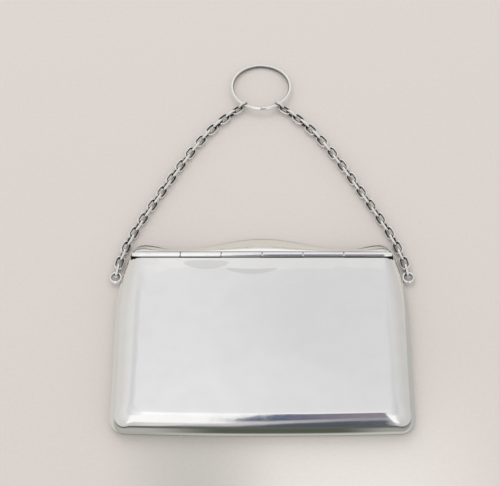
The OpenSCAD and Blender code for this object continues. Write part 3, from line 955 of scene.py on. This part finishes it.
point, round_len = 0.001, 0.3
pin_end = [(point, point)] + [(round_len * (1 - cos(a)), point + (pin_r - point) * sin(a))
                              for a in (pi / 8, pi / 4, 3 * pi / 8, pi / 2)]
verts, faces = turned_piece([(x - barrel_half, r) for x, r in pin_end]
                            + [(barrel_half - x, r) for x, r in reversed(pin_end)], (hinge_y, hinge_z))
pin_wire = smooth(in_scene("hinge_pin_wire", solid_mesh("hinge_pin", verts, faces)))
pin_metal = silver("drawn pin wire", scratches=0.8, dent=0.0, roughness=0.22, tarnish=0.8)
dressed(pin_wire, pin_metal, "case", "pin", "hinge_pin")

# ---- Lugs --------------------------------------------------------------------------------------
# A ring of round wire on each side, held to the edge of the front shell with silver solder, which
# has run into a small fillet between the two.
lug_wire_d, lug_r, lug_drop, lug_gap, chain_z = 1.0, 1.7, 5.0, 0.2, 1.5
stub_r, stub_drop = 0.38, 0.4
lug_y = hinge_y - lug_drop
lug_x = half_w(lug_y) + lug_gap + lug_r + lug_wire_d / 2


def ring_parts(r, wire_r, around=64, section=18):
    verts, faces, inward = [], [], []
    for i in range(around):
        a = 2 * pi * i / around
        for j in range(section):
            b = 2 * pi * j / section
            verts.append(((r + wire_r * cos(b)) * cos(a), (r + wire_r * cos(b)) * sin(a), wire_r * sin(b)))
            inward.append(max(0.0, -cos(b)))
            k, m = (i + 1) % around, (j + 1) % section
            faces.append((i * section + j, k * section + j, k * section + m, i * section + m))
    return verts, faces, inward


wire_silver = silver("drawn silver wire", scratches=0.4, dent=0.1, roughness=0.1, tarnish=0.15)
for side, word in ((-1, "left"), (1, "right")):
    verts, faces, inward = ring_parts(lug_r, lug_wire_d / 2, 72, 20)
    verts = [(side * (lug_x + x), lug_y + y, chain_z + z) for x, y, z in verts]
    stub_y = lug_y - lug_r / sqrt(2)
    stub_from, stub_to = half_w(stub_y) - 0.08, lug_x - lug_r / sqrt(2) + 0.1
    profile = [(stub_from, 0.01)]
    for t in range(13):
        u = t / 12
        flare = stub_r + 0.32 * (1 - min(1, u / 0.4)) ** 2 + 0.2 * max(0, (u - 0.6) / 0.4) ** 2
        profile.append((stub_from + (stub_to - stub_from) * u, flare))
    v, f = turned_piece(profile + [(stub_to, 0.01)], (stub_y, rim_z - stub_drop), 20)
    joined(verts, faces, [(side * x, y, z) for x, y, z in v], f)
    mesh = solid_mesh(word + "_lug", verts, faces, merge=False)
    # Painted shade on the inner side of each lug ring; the solder stub is darkened all over.
    with_recess(mesh, [0.9 * t for t in inward] + [0.6] * len(v))
    lug = smooth(in_scene(word + "_lug_wire", mesh), 60)
    dressed(lug, wire_silver, "case", "silver", word + "_lug")

# ---- Chains ------------------------------------------------------------------------------------
# Two cable chains of oval wire links, each closed and soldered through its neighbours. Rubbing
# keeps the outside bright; inside and where the links touch they are nearly black, partly from tarnish
# and partly as painted shade. The chains lie turned by about 32 degrees between the lugs and the rings,
# and their links are drawn a little wider than the solids, so that they look as they do and still clear
# each other in a fold.
link_count, link_pitch, wire_d, link_w, link_gap = 26, 3.15, 0.85, 2.1, 0.12
drawn_w = 2.55
lean_mid, lean_low, lean_high, chain_fit = 29.3, 22.0, 24.0, 0.0557685
chain_turn = -32.0
reach = (link_pitch + wire_d + link_gap) / 2
first_step = reach - wire_d / 2 - lug_wire_d / 2 - link_gap
chain_len = first_step + (link_count - 1) * link_pitch


def lean_at(s):
    u = max(0.0, min(1.0, s / chain_len))
    bend = lean_mid - lean_low * (1 - 2 * u) ** 3 if u < 0.5 else lean_mid + lean_high * (2 * u - 1) ** 2
    return radians(bend + chain_fit * abs(2 * u - 1))


def way(a):
    return Vector((-sin(a), cos(a)))


def along(i):
    return first_step + (i - 1) * link_pitch


spot = Vector((lug_x, lug_y)) + lug_r * way(lean_at(0)) + first_step * way(lean_at(first_step / 2))
links = []
for i in range(1, link_count + 1):
    links.append(spot)
    spot = spot + link_pitch * way(lean_at(along(i) + link_pitch / 2))

def link_group():
    """Links of wire on points: a drawn-out circle swept by the wire, dark inside and where they touch."""
    net, given, out, sockets = new_group(
        "chain links", "GeometryNodeTree",
        [("Geometry", "Geometry"), ("Link width", "Float", drawn_w * mm),
         ("Link length", "Float", 2 * reach * mm), ("Wire radius", "Float", wire_d / 2 * mm),
         ("Roundness", "Float", 0.62), ("Material", "Material")], [("Geometry", "Geometry")])
    ring = net.add("GeometryNodeCurvePrimitiveCircle", in_Resolution=40, in_Radius=1.0)
    at = net.axes(net.add("GeometryNodeInputPosition").outputs[0])
    oval = net.add("ShaderNodeCombineXYZ")
    for axis, size in (("X", "Link width"), ("Y", "Link length")):
        full = net.maths("POWER", net.away_from(at[axis]), given["Roundness"])
        full = net.times(net.times(full, net.maths("SIGN", at[axis])), given[size])
        net.feed(oval.inputs[axis], net.times(full, 0.5))
    bend = net.add("GeometryNodeSetPosition", in_Geometry=ring.outputs[0], in_Position=oval.outputs[0])
    wire = net.add("GeometryNodeCurvePrimitiveCircle", in_Resolution=16, in_Radius=given["Wire radius"])
    tube = net.add("GeometryNodeCurveToMesh", in_Curve=bend.outputs[0], in_Profile_Curve=wire.outputs[0])
    whole = net.add("GeometryNodeMergeByDistance", in_Geometry=tube.outputs[0], in_Distance=2e-6)
    at = net.axes(net.add("GeometryNodeInputPosition").outputs[0])
    straight = net.times(net.minus(given["Link length"], given["Link width"]), 0.5)
    past = net.most(net.minus(net.away_from(at["Y"]), straight), 0.0)
    out_by = net.maths("SQRT", net.plus(net.maths("POWER", at["X"], 2.0), net.maths("POWER", past, 2.0)))
    off = net.minus(out_by, net.times(given["Link width"], 0.5))
    off = net.maths("DIVIDE", off, given["Wire radius"])
    at_end = net.ramp(net.maths("DIVIDE", past, given["Wire radius"]), 0.3, 2.2, 0.0, 0.7)
    # Tarnish and painted shade: the inner half of each wire and the ends where neighbours pass are darkened.
    dark = net.most(net.times(net.ramp(off, 0.3, -0.15), 0.95),
                    net.times(at_end, net.ramp(off, 0.45, 0.0)), clamp=True)
    mark = net.add("GeometryNodeStoreNamedAttribute", data_type="FLOAT", domain="POINT",
                   in_Geometry=whole.outputs[0], in_Name="recess", in_Value=dark)
    turn = net.add("GeometryNodeInputNamedAttribute", data_type="FLOAT_VECTOR", in_Name="turn")
    as_turn = net.add("FunctionNodeEulerToRotation", in_Euler=turn.outputs["Attribute"])
    return put_on(net, given, out, given["Geometry"], mark.outputs[0], as_turn.outputs[0]), sockets


chain_links = link_group()
chain_silver = silver("silver chain with tarnish and painted shade", scratches=0.3, dent=0.25, roughness=0.1, tarnish=0.15)
chance = random.Random(7)
for run in range(1, link_count // 2 + 1):
    spots, turns = [], []
    for side in (-1, 1):
        for i in (2 * run - 1, 2 * run):
            turn_here = chain_turn * eased(26, 16, i) * (0.25 + 0.75 * eased(1, 4.5, i))
            roll = (90.0 if i % 2 else 0.0) + turn_here + chance.uniform(-1, 1)
            spots.append((side * links[i - 1].x * mm, links[i - 1].y * mm, chain_z * mm))
            turns += [0.0, side * radians(roll), side * lean_at(along(i))]
    mesh = bpy.data.meshes.new("links")
    mesh.from_pydata(spots, [], [])
    mesh.attributes.new("turn", "FLOAT_VECTOR", "POINT").data.foreach_set("vector", turns)
    last_run = {"Link_width": link_w * mm, "Roundness": 0.8} if run == link_count // 2 else {}
    pair = grown("chain_run_%02d" % run, mesh, chain_links, Material=chain_silver, **last_run)
    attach(pair, "chain_%02d" % run)
    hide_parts("left_links_%02d" % run, "right_links_%02d" % run)

# ---- End rings ---------------------------------------------------------------------------------
# A small round jump ring joins the last link of each chain to the finger ring. Both stand nearly
# on edge, because leaning over they would meet the finger ring when it flips.
end_ring_r, end_wire_d, end_slack, finger_slack, on_edge = 1.8, 0.75, 0.35, 0.43, 83.0
end_lean = lean_at(chain_len)
last_wire = links[-1] + reach * way(end_lean)
end_ring_at = last_wire + end_slack * way(end_lean)
end_ring_z = end_ring_r + end_wire_d / 2 + inner_gap
verts, faces, inward = [], [], []
for side in (-1, 1):
    v, f, dark = ring_parts(end_ring_r, end_wire_d / 2, 56, 16)
    spin = Euler((0, side * radians(on_edge), side * end_lean)).to_matrix()
    middle = Vector((side * end_ring_at.x, end_ring_at.y, end_ring_z))
    joined(verts, faces, [spin @ Vector(p) + middle for p in v], f)
    # Painted shade on the inner side of each end ring.
    inward += [0.95 * t for t in dark]
mesh = raw_mesh("end_rings", verts, faces)
with_recess(mesh, inward)
end_rings = smooth(in_scene("end_ring_pair", mesh), 60)
dressed(end_rings, chain_silver, "end_rings", "chain", "left_end_ring", "right_end_ring")

# ---- Finger ring -------------------------------------------------------------------------------
# One large ring of round wire, bent round and soldered shut at the middle of its near side, where a
# dark line of solder still shows. The case hangs from it on a finger.
finger_r, finger_wire_d, finger_rise = 10.45, 1.25, 0.2
finger_at = end_ring_at + finger_slack * way(end_lean)
finger_z = end_ring_z + finger_rise
finger_mid = sqrt(finger_r ** 2 - finger_at.x ** 2)
finger_tilt = asin((finger_z - finger_wire_d / 2) / (finger_mid + finger_r))
v, f, dark = ring_parts(finger_r, finger_wire_d / 2, 220, 26)
tilt = Euler((-finger_tilt, 0, 0)).to_matrix()
# Painted shade on the inner side of the wire; the short dark mark at the seam is the solder line.
marks = []
for (x, y, z), t in zip(v, dark):
    off_seam = abs(atan2(x, -y)) * finger_r
    marks.append(min(1.0, 0.85 * t ** 1.5 + 0.3 * max(0.0, 1 - off_seam / 0.35)))
near, lifted = Vector((0, finger_mid, 0)), Vector((0, finger_at.y, finger_z))
mesh = raw_mesh("finger_ring", [tilt @ (Vector(p) + near) + lifted for p in v], f)
with_recess(mesh, marks)
finger = smooth(in_scene("finger_ring_wire", mesh), 60)
dressed(finger, wire_silver, "finger_ring", "silver", "finger_ring")
